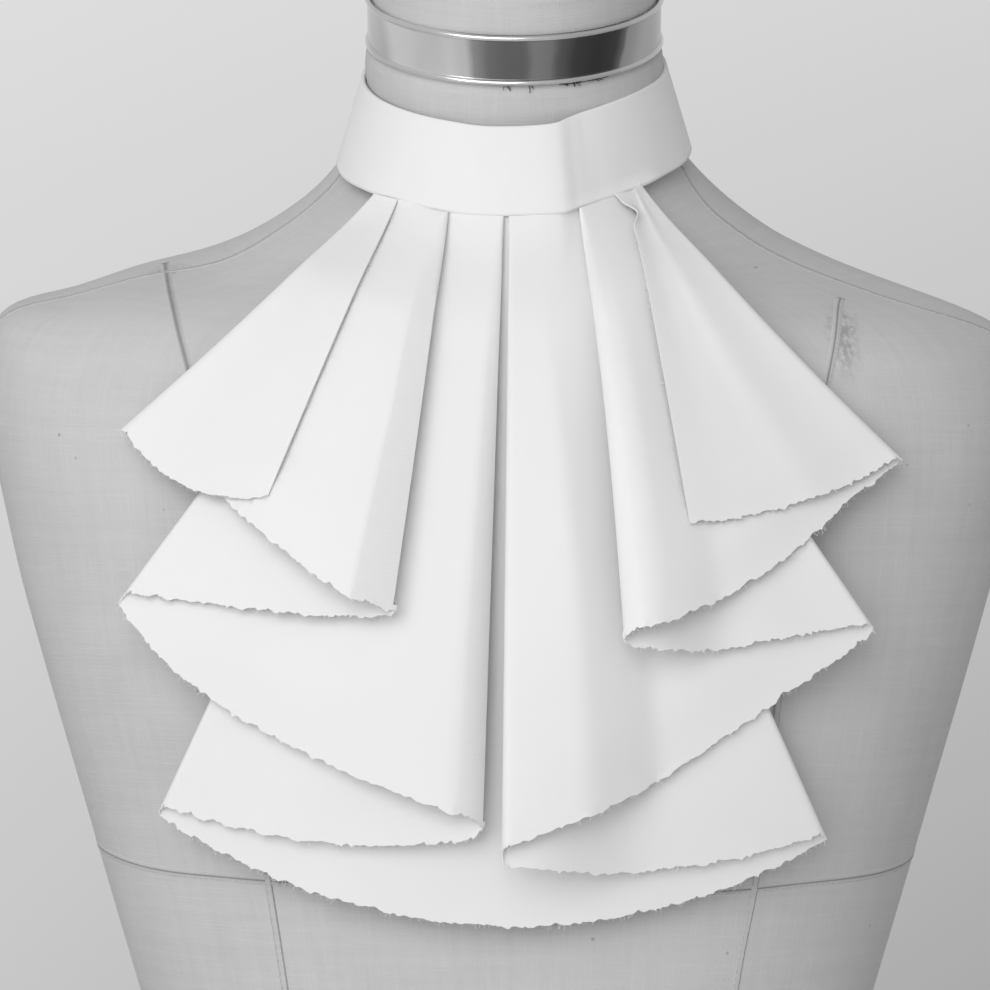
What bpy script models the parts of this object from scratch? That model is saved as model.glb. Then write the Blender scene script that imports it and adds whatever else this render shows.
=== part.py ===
# Jabot collar worn on a tabletop dress form.
# Metres, +Z up. The front faces -Y. The origin is the centre of the form's flat underside.

import math

import bmesh
import bpy
import numpy as np

MM = 0.001

# Driving sizes, in millimetres and degrees
SEAM_GAP = 0.3
NECK_TILT = 22.0        # the neck, ring and collar all lie in planes that dip forward
BAND_ROLL = 2.4         # the collar sits higher on the wearer's left
NECK_X = 2.8            # the neck stands slightly to the wearer's left
BAND_WALL = 2.0
BAND_LAP = 26.0
RUFFLE_WALL = 1.0
LAYER_PITCH = 2.2       # between two layers where they are sewn to the band
BAND_REACH = 0.8        # share of the half width where the curve of the neck turns straight
SEAM_FADE = 45.0        # length over which the ruffle leaves the curve of the neck
CRISP_ROLL = 5.0        # a fold under this radius opens at once, and a wider one towards its hem
SEAM_PASSES = 4         # to settle a point on both the tilted seam and the cloth
SEAM_TUCK = 0.3         # room for the leaning wall under the band
STACK_MIDDLE = 0.5      # how far back the first layer starts at the centre of the band
STACK_SPREAD = 0.11     # and how much further back for each millimetre to the side
DEPTH_GROWTH = 1.1      # powers of how the layers' depth and the two kinds of fold grow down the cloth
CRISP_GROWTH = 0.5
WIDE_GROWTH = 1.25
LAP_RISE = 3.0          # laps over which the end of the band comes out over its start
SLANT_SHARE = 0.5       # share of a fold's length over which it turns from the curve of the neck
RING_BASE = 653.6       # height of its lower rim at the sides of the neck
RING_HEIGHT = 19.5
RING_WALL = 0.8
RING_ROLL = 1.1

# Counts of faces
FORM_SIDES = 44
RING_STEP = 32.0        # most height between two sections of the torso
BAND_SEGMENTS = 72
BAND_ROWS = 2
RUFFLE_ROWS = 15
ROW_CROWDING = 1.4      # above 1, the rows lie closer together near the band
FOLD_SEGMENTS = 4
LAYER_STEP = 13.0       # width of one face across a layer at the hem
ROLL_SEGMENTS = 4


def columns(names, *rows):
    return dict(zip(names.split(), np.array(rows, float).T))


# Sections of the torso from its underside to the base of the neck. The front and back columns are
# depths from the section's centre, and fullness is the power of its oval: 2 is an ellipse.
TORSO = columns(
    "height half_width front back fullness centre_y tilt",
    (0.0, 146.0, 104.0, 108.0, 2.3, 4.0, 0.0),
    (45.0, 150.0, 108.0, 112.0, 2.3, 4.0, 0.0),
    (110.0, 145.0, 105.0, 104.0, 2.3, 4.0, 0.0),
    (160.0, 132.5, 99.5, 93.0, 2.25, 4.0, 0.0),
    (200.0, 127.5, 97.0, 88.0, 2.2, 4.0, 0.0),
    (240.0, 132.0, 99.0, 90.0, 2.2, 4.0, 0.0),
    (281.0, 143.6, 105.0, 98.0, 2.3, 4.0, 0.0),
    (315.0, 153.7, 109.0, 104.0, 2.3, 4.0, 0.0),
    (360.0, 166.7, 114.0, 112.0, 2.35, 4.0, 0.0),
    (415.0, 182.6, 117.0, 118.0, 2.4, 4.0, 0.0),
    (460.0, 195.0, 112.0, 118.0, 2.3, 4.0, 0.0),
    (500.0, 203.5, 103.0, 114.0, 2.3, 4.0, 0.0),
    (525.0, 205.0, 95.5, 107.0, 2.15, 4.0, 0.0),
    (539.0, 204.0, 90.5, 102.0, 1.9, 4.0, 0.0),
    (546.0, 200.0, 88.5, 99.5, 1.7, 4.0, 0.5),
    (549.5, 190.0, 87.0, 98.5, 1.55, 4.0, 1.2),
    (553.0, 172.0, 85.5, 97.0, 1.47, 4.0, 2.2),
    (560.0, 151.0, 83.0, 94.0, 1.45, 4.0, 4.5),
    (566.5, 131.0, 80.5, 91.0, 1.5, 4.0, 7.5),
    (575.0, 113.0, 77.5, 87.0, 1.6, 4.0, 12.0),
    (586.0, 91.0, 72.5, 80.0, 1.8, 4.0, 17.0),
    (601.0, 75.6, 66.0, 70.0, 2.0, 4.0, 22.0),
)

# Sections of the neck above the torso, all in the tilted planes
NECK = columns(
    "height half_width front back centre_y",
    (601.0, 75.6, 66.0, 70.0, 4.0),
    (604.5, 70.4, 64.4, 67.6, 2.6),
    (609.0, 65.8, 62.6, 64.2, 1.0),
    (616.0, 61.8, 60.6, 61.1, -1.2),
    (626.0, 59.1, 58.7, 58.7, -3.8),
    (638.5, 57.8, 57.6, 57.6, -6.2),
    (646.0, 56.6, 57.0, 57.0, -8.3),
    (653.6, 55.8, 56.2, 56.2, -11.0),
    (671.7, 55.6, 56.0, 56.0, -18.3),
    (683.0, 55.4, 55.8, 55.8, -22.9),
    (687.0, 53.6, 54.0, 54.0, -24.5),
    (689.6, 48.6, 49.0, 49.0, -25.6),
    (691.6, 38.0, 38.4, 38.4, -26.4),
)

# Middle of the collar band's wall, at its lower and upper edge
BAND = columns(
    "height half_width depth centre_y",
    (610.0, 69.1, 67.4, 0.0),
    (642.5, 59.0, 59.0, -7.4),
)

# Front of the chest under the ruffle: how far it stands out at the centre, and how fast it falls away
# to the sides, as the drop in millimetres at 100 mm from the centre
CHEST = columns(
    "height front side_drop",
    (300.0, 110.0, 19.0),
    (316.0, 111.5, 18.0),
    (360.0, 115.5, 16.0),
    (415.0, 117.5, 12.0),
    (460.0, 112.5, 11.0),
    (500.0, 103.5, 13.0),
    (530.0, 94.5, 14.0),
    (548.0, 88.0, 17.0),
    (560.0, 82.5, 23.0),
    (573.0, 75.5, 36.0),
    (583.0, 70.0, 50.0),
    (594.0, 66.5, 60.0),
)

# Fold lines of the ruffle in the order of the cloth, from the wearer's right free edge to the left one.
# top_x is the place at the band, angle the lean of the line from plumb, and length its length, all seen
# from the front. bow is how far the line bends towards +X at its middle. depth is how far the fold's
# middle stands in front of the chest at the hem, and roll the radius of the fold there. side is the way
# that the fold points. step is how much shorter than the line the cloth is at the front of the fold, and
# how much longer at its back. bulge and skew are the extra length of the layer that follows, at its
# middle and at its first quarter.
FOLDS = columns(
    "top_x angle length bow depth roll side step bulge skew",
    (-43.8, -22.0, 116.7, 0.0, 37.0, 0.0, 0, 0.0, 6.0, 0.0),
    (-54.1, -45.7, 125.2, 2.3, 8.5, 3.0, -1, 1.0, -8.0, -1.5),
    (-25.5, -6.2, 148.3, 0.0, 34.0, 11.0, 1, 4.0, -2.5, 0.0),
    (-37.0, -35.6, 180.3, 1.0, 14.0, 2.0, -1, 4.0, 2.0, 1.7),
    (-3.6, -1.2, 226.2, 0.0, 20.0, 12.0, 1, 6.0, 1.7, 0.0),
    (-21.8, -25.5, 248.5, 0.0, 6.0, 2.5, -1, 2.5, 9.5, -0.3),
    (11.6, 24.4, 255.9, 0.0, 6.0, 2.5, 1, 2.0, 2.2, 0.0),
    (-1.7, 0.4, 234.8, 0.0, 16.0, 4.0, -1, 4.5, -4.0, 1.5),
    (29.4, 33.7, 188.8, -1.0, 12.0, 2.0, 1, 2.5, -2.0, -1.5),
    (27.4, 5.1, 159.5, 0.0, 27.0, 7.0, -1, 4.5, -1.5, 2.0),
    (54.5, 42.2, 136.8, -3.0, 8.5, 3.0, 1, 2.0, -0.3, 0.0),
    (46.6, 9.1, 122.6, 0.0, 37.0, 0.0, 0, 0.0, 0.0, 0.0),
)
LAYERS = len(FOLDS["top_x"]) - 1


# Value of one column of a table at any place of its first column, by a smooth curve that never
# overshoots the rows
def smooth(table, column, at):
    xs = table[next(iter(table))]
    ys = table[column]
    steps = np.diff(xs)
    slopes = np.diff(ys) / steps
    tangents = np.concatenate([slopes[:1], np.zeros(len(xs) - 2), slopes[-1:]])
    for i in range(1, len(xs) - 1):
        before, after = slopes[i - 1], slopes[i]
        if before * after > 0:
            tangents[i] = 2 * before * after / (before + after)
    i = int(np.clip(np.searchsorted(xs, at) - 1, 0, len(steps) - 1))
    t = (min(max(at, xs[0]), xs[-1]) - xs[i]) / steps[i]
    rise = ys[i] * (1 + 2 * t) * (1 - t) ** 2 + ys[i + 1] * t * t * (3 - 2 * t)
    return rise + steps[i] * t * (1 - t) * (tangents[i] * (1 - t) - tangents[i + 1] * t)


def ease(t):
    return t * t * (3 - 2 * t)


def tilted(x, y, centre, tilt=NECK_TILT, roll=0.0):
    rise = (y - centre[1]) * math.tan(math.radians(tilt)) + (x - centre[0]) * math.tan(math.radians(roll))
    return (x, y, centre[2] + rise)


# One oval section of the form
def section(centre, half_width, front, back, fullness, tilt):
    points = []
    for k in range(FORM_SIDES):
        angle = 2 * math.pi * k / FORM_SIDES
        across = math.copysign(abs(math.cos(angle)) ** (2 / fullness), math.cos(angle))
        along = math.copysign(abs(math.sin(angle)) ** (2 / fullness), math.sin(angle))
        depth = back if along > 0 else front
        x = centre[0] + half_width * across
        points.append(tilted(x, centre[1] + depth * along, centre, tilt))
    return points


def torso_section(height):
    lean = smooth(TORSO, "tilt", height)
    centre = (NECK_X * lean / NECK_TILT, smooth(TORSO, "centre_y", height), height)
    sizes = [smooth(TORSO, name, height) for name in ("half_width", "front", "back", "fullness")]
    return section(centre, *sizes, lean)


# Heights of the torso's sections: every row of its table, and more between two that lie far apart
def torso_heights():
    rows = TORSO["height"]
    heights = []
    for low, high in zip(rows, rows[1:]):
        count = math.ceil((high - low) / RING_STEP)
        heights += np.linspace(low, high, count + 1).tolist()[:-1]
    return [*heights, rows[-1]]


def neck_section(height, out=0.0):
    centre = (NECK_X, smooth(NECK, "centre_y", height), height)
    sizes = [smooth(NECK, name, height) + out for name in ("half_width", "front", "back")]
    return section(centre, *sizes, 2.0, NECK_TILT)


# Closed solid from a stack of sections with equal numbers of points
def loft(sections):
    count = len(sections[0])
    faces = [tuple(range(count))[::-1]]
    for row in range(len(sections) - 1):
        for k in range(count):
            a, b = row * count + k, row * count + (k + 1) % count
            faces.append((a, b, b + count, a + count))
    faces.append(tuple(range((len(sections) - 1) * count, len(sections) * count)))
    return [point for ring in sections for point in ring], faces


# Closed wall between two grids of points, one for each face of the cloth
def wall(front, back):
    rows, count = front.shape[:2]
    points = np.concatenate([front.reshape(-1, 3), back.reshape(-1, 3)])
    shift = rows * count
    faces = []
    for i in range(rows - 1):
        for j in range(count - 1):
            a, b, c, d = i * count + j, i * count + j + 1, (i + 1) * count + j + 1, (i + 1) * count + j
            faces += [(a, b, c, d), (d + shift, c + shift, b + shift, a + shift)]
    rim = list(range(count))
    rim += [(i + 1) * count - 1 for i in range(1, rows)]
    rim += [(rows - 1) * count + j for j in range(count - 2, -1, -1)]
    rim += [i * count for i in range(rows - 2, 0, -1)]
    faces += [(b, a, a + shift, b + shift) for a, b in zip(rim, rim[1:] + rim[:1])]
    return points.tolist(), faces


def unit(vectors):
    return vectors / np.linalg.norm(vectors, axis=-1, keepdims=True)


# Two faces of the cloth, half a wall to each side of its middle
def thicken(middle, thickness):
    runs = unit(np.diff(middle, axis=0))
    along = np.concatenate([runs[:1], unit(runs[:-1] + runs[1:]), runs[-1:]])
    falls = unit(np.diff(middle, axis=1))
    down = np.concatenate([falls[:, :1], unit(falls[:, :-1] + falls[:, 1:]), falls[:, -1:]], axis=1)
    normals = unit(np.cross(along, down))
    return middle + normals * thickness / 2, middle - normals * thickness / 2


def collar_wall():
    bottom, top = ({name: values[end] for name, values in BAND.items()} for end in (0, 1))
    lap = BAND_LAP / bottom["depth"]
    turns = np.linspace(0, 2 * math.pi + lap, BAND_SEGMENTS + 1)
    faces = {side: np.zeros((BAND_ROWS + 1, len(turns), 3)) for side in (1, -1)}
    for i in range(BAND_ROWS + 1):
        share = i / BAND_ROWS
        size = {name: bottom[name] * (1 - share) + top[name] * share for name in BAND}
        centre = (NECK_X, size["centre_y"], size["height"])
        for j, turn in enumerate(turns):
            angle = math.pi / 2 - lap / 2 + turn
            normal = unit(np.array([size["depth"] * math.cos(angle), size["half_width"] * math.sin(angle)]))
            rise = ease(np.clip(1 + (turn - 2 * math.pi) / (LAP_RISE * lap), 0, 1))
            for side in (1, -1):
                out = side * BAND_WALL / 2 + rise * (BAND_WALL + SEAM_GAP)
                x = centre[0] + size["half_width"] * math.cos(angle) + normal[0] * out
                y = centre[1] + size["depth"] * math.sin(angle) + normal[1] * out
                faces[side][i, j] = tilted(x, y, centre, roll=BAND_ROLL)
    return faces[1], faces[-1]


# Depth of the chest under the ruffle
def chest_y(x, height):
    return smooth(CHEST, "side_drop", height) * (x / 100) ** 2 - smooth(CHEST, "front", height)


# Depth of the band's middle at its lower edge, moved out, and carried straight on past its sides
def band_y(x, out=0.0):
    half, depth = BAND["half_width"][0] + out, BAND["depth"][0] + out
    across = abs(x - NECK_X) / half
    edge = min(across, BAND_REACH)
    drop = math.sqrt(1 - edge * edge)
    return BAND["centre_y"][0] - depth * (drop - (across - edge) * edge / drop)


def seam_height(x, y):
    centre = (NECK_X, BAND["centre_y"][0], BAND["height"][0])
    return tilted(x, y, centre, roll=BAND_ROLL)[2] - SEAM_GAP - SEAM_TUCK


# How far back the layers start, so that the stack of them lies under the band's wall
def stack(x):
    return STACK_MIDDLE + STACK_SPREAD * abs(x)


# Depth of the cloth that lies so far in front of the chest, round like the band at the seam and like the
# chest further down
def cloth_y(x, height, out):
    below = seam_height(x, band_y(x)) - height
    fade = max(0.0, 1 - max(0.0, below) / SEAM_FADE) ** 2
    return (1 - fade) * (chest_y(x, height) - out) + fade * band_y(x, out - stack(x))


def fold_at(i, down):
    fold = {name: values[i] for name, values in FOLDS.items()}
    front = abs(i - LAYERS / 2)
    seam_depth = LAYER_PITCH * (front if fold["side"] else front - 0.5)
    roll_at_seam = LAYER_PITCH / 2 if fold["side"] else 0.0
    fold["depth"] = seam_depth + (fold["depth"] - seam_depth) * down ** DEPTH_GROWTH
    growth = CRISP_GROWTH if fold["roll"] < CRISP_ROLL else WIDE_GROWTH
    fold["roll"] = roll_at_seam + max(0.0, fold["roll"] - roll_at_seam) * down ** growth
    return fold


# Place of one point of the cloth from its own fan line: the line's top, lean and length, how far the roll
# of a fold pulls the cloth sideways, and how far the cloth stands in front of the chest
def cloth_point(line, down):
    x0 = line["top_x"] + line["pull_at_seam"]
    y0 = band_y(x0)
    for _ in range(SEAM_PASSES):
        y0 = cloth_y(x0, seam_height(x0, y0), line["depth_at_seam"])
    lean = math.radians(line["angle"])
    run = line["length"] * down
    sideways = line["bow"] * math.sin(math.pi * down) + line["pull"] - line["pull_at_seam"]
    x = x0 + run * math.sin(lean) + sideways * math.cos(lean)
    z = seam_height(x0, y0) - run * math.cos(lean) + sideways * math.sin(lean)
    return (x, cloth_y(x, z, line["depth"]), z)


# One line of the round of a fold. A turn of 0 is its start and pi its end.
def fold_line(i, turn, down):
    forward = 1 if i < LAYERS / 2 else -1
    line = {}
    for key, place in (("", down), ("_at_seam", 0.0)):
        fold = fold_at(i, place)
        slant = (fold["top_x"] - NECK_X) / BAND["half_width"][0] * max(0.0, 1 - place / SLANT_SHARE)
        inward = -fold["side"] * (1 - math.sin(turn)) * math.sqrt(1 - slant * slant)
        line["pull" + key] = fold["roll"] * (inward + forward * math.cos(turn) * slant)
        line["depth" + key] = fold["depth"] + forward * fold["roll"] * math.cos(turn)
    line["length"] = fold["length"] - forward * fold["step"] * math.cos(turn)
    return line | {name: fold[name] for name in ("top_x", "angle", "bow")}


def layer_line(i, across, down):
    first = fold_line(i, math.pi if FOLDS["side"][i] else 0.0, down)
    last = fold_line(i + 1, 0.0, down)
    line = {name: first[name] * (1 - across) + last[name] * across for name in first}
    for name in ("depth", "depth_at_seam"):
        line[name] = first[name] + (last[name] - first[name]) * ease(across)
    line["length"] += FOLDS["bulge"][i] * 4 * across * (1 - across)
    line["length"] += FOLDS["skew"][i] * math.sin(2 * math.pi * across)
    return line


def ruffle_stations():
    stations = []
    for i in range(LAYERS):
        spread = math.radians(abs(FOLDS["angle"][i + 1] - FOLDS["angle"][i]))
        count = max(3, round(spread * FOLDS["length"][i : i + 2].mean() / LAYER_STEP))
        stations += [(layer_line, i, k / count) for k in range(count + 1)]
        if i + 1 < LAYERS:
            turns = np.linspace(0, math.pi, FOLD_SEGMENTS + 1)[1:-1]
            stations += [(fold_line, i + 1, turn) for turn in turns]
    return stations


def ruffle_wall():
    stations = ruffle_stations()
    middle = []
    for down in np.linspace(0, 1, RUFFLE_ROWS + 1) ** ROW_CROWDING:
        middle.append([cloth_point(line(i, place, down), down) for line, i, place in stations])
    return thicken(np.array(middle), RUFFLE_WALL)


# The neck ring is a right band along the neck, with a rolled rim at each end
def ring_sections():
    inner, outer = SEAM_GAP, SEAM_GAP + RING_WALL
    profile = [(inner, 0.0), (inner, RING_HEIGHT)]
    for centre in (RING_HEIGHT - RING_ROLL, RING_ROLL):
        for k in range(ROLL_SEGMENTS + 1):
            turn = math.radians(90 - 180 * k / ROLL_SEGMENTS)
            profile.append((outer + RING_ROLL * math.cos(turn), centre + RING_ROLL * math.sin(turn)))
    lean = math.radians(NECK_TILT)
    axis = np.array([0.0, -math.sin(lean), math.cos(lean)])
    return [(np.array(neck_section(RING_BASE, out)) + axis * up).tolist() for out, up in profile]


def closed_band(rings):
    count, sides = len(rings), len(rings[0])
    faces = []
    for i in range(count):
        for k in range(sides):
            a, b = i * sides + k, i * sides + (k + 1) % sides
            c, d = ((i + 1) % count) * sides + (k + 1) % sides, ((i + 1) % count) * sides + k
            faces.append((a, d, c, b))
    return [point for ring in rings for point in ring], faces


def material(name, colour, roughness, metallic=0.0):
    made = bpy.data.materials.new(name)
    made.use_nodes = True
    shader = made.node_tree.nodes["Principled BSDF"]
    shader.inputs["Base Color"].default_value = (*colour, 1.0)
    shader.inputs["Roughness"].default_value = roughness
    shader.inputs["Metallic"].default_value = metallic
    return made


def solid(name, shape, look, sharp=50.0):
    points, faces = shape
    mesh = bpy.data.meshes.new(name)
    mesh.from_pydata([tuple(value * MM for value in point) for point in points], [], faces)
    shaped = bmesh.new()
    shaped.from_mesh(mesh)
    bmesh.ops.recalc_face_normals(shaped, faces=shaped.faces)
    shaped.to_mesh(mesh)
    shaped.free()
    mesh.shade_smooth()
    mesh.set_sharp_from_angle(angle=math.radians(sharp))
    mesh.materials.append(look)
    made = bpy.data.objects.new(name, mesh)
    bpy.context.collection.objects.link(made)
    return made


def main():
    for old in list(bpy.data.objects):
        bpy.data.objects.remove(old)
    linen = material("linen", (0.52, 0.51, 0.49), 0.9)
    cotton = material("cotton", (0.84, 0.84, 0.82), 0.85)
    metal = material("polished_metal", (0.72, 0.72, 0.72), 0.22, 1.0)

    solid("form_torso", loft([torso_section(height) for height in torso_heights()]), linen)
    neck_rings = [neck_section(height) for height in NECK["height"]]
    neck_rings = [[(x, y, z + SEAM_GAP) for x, y, z in ring] for ring in neck_rings]
    solid("form_neck", loft(neck_rings), linen)
    solid("neck_ring", closed_band(ring_sections()), metal)
    solid("collar_band", wall(*collar_wall()), cotton)
    solid("ruffle", wall(*ruffle_wall()), cotton)


main()
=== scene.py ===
import math

import bmesh
import bpy
import numpy as np
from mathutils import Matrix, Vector
from mathutils.bvhtree import BVHTree


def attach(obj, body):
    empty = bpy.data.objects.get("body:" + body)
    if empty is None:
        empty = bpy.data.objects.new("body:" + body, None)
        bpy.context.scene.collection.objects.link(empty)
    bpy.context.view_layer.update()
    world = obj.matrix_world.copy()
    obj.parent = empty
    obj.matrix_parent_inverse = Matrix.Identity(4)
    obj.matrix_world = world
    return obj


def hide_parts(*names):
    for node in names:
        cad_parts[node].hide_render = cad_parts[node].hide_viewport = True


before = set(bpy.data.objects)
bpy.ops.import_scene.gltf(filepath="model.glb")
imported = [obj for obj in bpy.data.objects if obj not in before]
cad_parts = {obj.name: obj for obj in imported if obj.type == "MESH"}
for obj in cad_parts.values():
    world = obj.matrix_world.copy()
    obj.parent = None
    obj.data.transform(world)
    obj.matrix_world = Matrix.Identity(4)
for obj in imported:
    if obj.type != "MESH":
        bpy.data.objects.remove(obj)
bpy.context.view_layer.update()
mm = 0.001

# Room, camera and light

studio = {
    "cameraAt": (-4.7, -1650.0, 476.0),
    "frameWidth": 390.0,  # width of the picture at the middle of the form
    "sensor": 36.0,
    "clip": (0.05, 50.0),  # nearest and farthest that the camera sees, in metres
    "floorReach": 2200.0,  # ends short of what the camera sees below the horizon
    "floorColour": 0.66,
    "keyAt": (-640.0, -1680.0, 1010.0),
    "keySize": 1700.0,
    "keyPower": 24.0,
    "fillAt": (900.0, -2400.0, 500.0),
    "fillSize": 1800.0,
    "fillPower": 1.5,
    "lightTarget": (0.0, -60.0, 480.0),
    "skyLight": 0.52,  # round the room, which also reaches into the folds
    "wallLight": 0.59,  # behind the form, brightest at the top left
    "wallFall": (-0.5, 0.87, 1.8),  # how it changes to the right, upwards, and with both
    "wallReach": 0.14,
    "wallEdge": (0.55, 0.97),  # where the room's light turns into the wall's
}


def placed(point):
    return tuple(value * mm for value in point)


def lookAt(thing, target):
    direction = np.array(target) * mm - np.array(thing.location)
    thing.rotation_euler = Vector(direction.tolist()).to_track_quat("-Z", "Y").to_euler()


def linked(thing):
    bpy.context.scene.collection.objects.link(thing)
    return thing


def makeCamera():
    lens = bpy.data.cameras.new("camera")
    lens.sensor_width = studio["sensor"]
    lens.lens = studio["sensor"] * -studio["cameraAt"][1] / studio["frameWidth"]
    lens.clip_start, lens.clip_end = studio["clip"]
    camera = linked(bpy.data.objects.new("camera", lens))
    camera.location = placed(studio["cameraAt"])
    camera.rotation_euler = (math.pi / 2, 0.0, 0.0)
    bpy.context.scene.camera = camera


def softBox(name, at, size, power):
    lamp = bpy.data.lights.new(name, "AREA")
    lamp.shape = "SQUARE"
    lamp.size = size * mm
    lamp.energy = power
    box = linked(bpy.data.objects.new(name, lamp))
    box.location = placed(at)
    lookAt(box, studio["lightTarget"])


# Shader maths: a socket that adds its own Math nodes

class Value:
    def __init__(self, tree, socket):
        self.tree = tree
        self.socket = socket

    def node(self, kind, settings=None, sockets=None, output=0):
        made = self.tree.nodes.new(kind)
        for name, setting in (settings or {}).items():
            setattr(made, name, setting)
        for key, given in (sockets or {}).items():
            if isinstance(given, Value):
                self.tree.links.new(given.socket, made.inputs[key])
            else:
                made.inputs[key].default_value = given
        return Value(self.tree, made.outputs[output])

    def maths(self, operation, *others):
        return self.node("ShaderNodeMath", {"operation": operation}, dict(enumerate((self, *others))))

    def __neg__(self):
        return self * -1.0

    def __add__(self, other):
        return self.maths("ADD", other)

    def __mul__(self, other):
        return self.maths("MULTIPLY", other)

    def __sub__(self, other):
        return self.maths("SUBTRACT", other)

    def __rsub__(self, other):
        return self.node("ShaderNodeMath", {"operation": "SUBTRACT"}, {0: other, 1: self})

    def __truediv__(self, other):
        return self.maths("DIVIDE", other)

    def __pow__(self, other):
        return self.maths("POWER", other)

    __radd__ = __add__
    __rmul__ = __mul__

    def between(self, low, high):
        return self.node("ShaderNodeMapRange", {"interpolation_type": "SMOOTHSTEP"}, {
            0: self, 1: low, 2: high})

    def mixed(self, first, second):
        return self.node("ShaderNodeMix", {"data_type": "RGBA"}, {0: self, 6: first, 7: second}, 2)

    def noise(self, scale, detail, roughness=0.5):
        return self.node("ShaderNodeTexNoise", None, {
            "Vector": self, "Scale": scale, "Detail": detail, "Roughness": roughness})

    def parts(self):
        split = self.node("ShaderNodeSeparateXYZ", None, {0: self})
        return [Value(self.tree, output) for output in split.socket.node.outputs]

    def carried(self, name):
        return self.node("ShaderNodeAttribute", {"attribute_name": name}, None, 2)

    def objectPlace(self):
        return self.node("ShaderNodeTexCoord", None, None, 3)

    def greyed(self):
        return self.node("ShaderNodeCombineColor", None, {0: self, 1: self, 2: self})

    def bump(self, strength, distance):
        return self.node("ShaderNodeBump", None, {"Strength": strength, "Distance": distance, "Height": self})


def grey(level):
    return (level, level, level, 1.0)


def newMaterial(name, colour, roughness, metallic=0.0):
    material = bpy.data.materials.new(name)
    material.use_nodes = True
    shader = material.node_tree.nodes["Principled BSDF"]
    shader.inputs["Base Color"].default_value = colour
    shader.inputs["Roughness"].default_value = roughness
    shader.inputs["Metallic"].default_value = metallic
    return material, shader, Value(material.node_tree, None)


def linkTo(shader, name, value):
    value.tree.links.new(value.socket, shader.inputs[name])


def meshOf(name, points, faces, material, soft=True):
    mesh = bpy.data.meshes.new(name)
    mesh.from_pydata((np.asarray(points, float) * mm).tolist(), [], faces)
    mesh.update()
    if soft:
        mesh.shade_smooth()
    mesh.materials.append(material)
    return linked(bpy.data.objects.new(name, mesh))


# Corners of each cell of a grid, in order round it; a closed way runs on into its start
def cells(rows, count, closedDown=False, closedRound=False):
    corners = []
    for i in range(rows if closedDown else rows - 1):
        a, b = i * count, (i + 1) % rows * count
        for k in range(count if closedRound else count - 1):
            c = (k + 1) % count
            corners.append((a + k, a + c, b + c, b + k))
    return corners


# Values of a mesh's points, for its material or its tree
def carry(mesh, name, values, kind="FLOAT"):
    held = mesh.attributes.new(name, kind, "POINT").data
    held.foreach_set("value" if kind == "FLOAT" else "vector", np.ravel(values))


# Tables of the part's own sizes, in millimetres

def columns(names, *rows):
    return dict(zip(names.split(), np.array(rows, float).T))


# Values of one column at places of the first one, by a smooth curve that never overshoots
def smooth(table, column, at):
    xs = next(iter(table.values()))
    ys = table[column]
    steps = np.diff(xs)
    slopes = np.diff(ys) / steps
    tangents = np.concatenate([slopes[:1], np.zeros(len(xs) - 2), slopes[-1:]])
    before, after = slopes[:-1], slopes[1:]
    same = before * after > 0
    tangents[1:-1][same] = 2 * before[same] * after[same] / (before + after)[same]
    at = np.clip(np.asarray(at, float), xs[0], xs[-1])
    i = np.clip(np.searchsorted(xs, at) - 1, 0, len(steps) - 1)
    t = (at - xs[i]) / steps[i]
    rise = ys[i] * (1 + 2 * t) * (1 - t) ** 2 + ys[i + 1] * t * t * (3 - 2 * t)
    return rise + steps[i] * t * (1 - t) * (tangents[i] * (1 - t) - tangents[i + 1] * t)


def ease(t):
    t = np.clip(t, 0, 1)
    return t * t * (3 - 2 * t)


# Share that comes in over a rise from a low value, and goes out over a fall before a high one
def window(values, low, rise, high, fall):
    return ease((values - low) / rise) * ease((high - values) / fall)


# From 0 to 1 in a straight slope with soft ends
def crease(t, soft=0.12):
    t = np.clip(t, 0, 1) * (1 + soft)
    ends = np.minimum(np.minimum(t, 1 + soft - t), soft)
    middle = np.clip(t - soft, 0, 1 - soft) + soft / 2
    return np.where(t < soft, ends ** 2 / (2 * soft), np.where(t > 1, 1 - ends ** 2 / (2 * soft), middle))


# How far each point of a line lies along it
def walkedTo(line):
    return np.concatenate([[0], np.cumsum(np.linalg.norm(np.diff(line, axis=0), axis=1))])


def unit(vectors):
    return vectors / np.maximum(np.linalg.norm(vectors, axis=-1, keepdims=True), 1e-9)


neck = {
    "x": 2.8,
    "tilt": 22.0,
    "collarRoll": 2.4,
    "seamGap": 0.3,
    "jointGap": 0.02,
}
neckLean = math.radians(neck["tilt"])
neckAxis = np.array([0.0, -math.sin(neckLean), math.cos(neckLean)])

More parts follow.
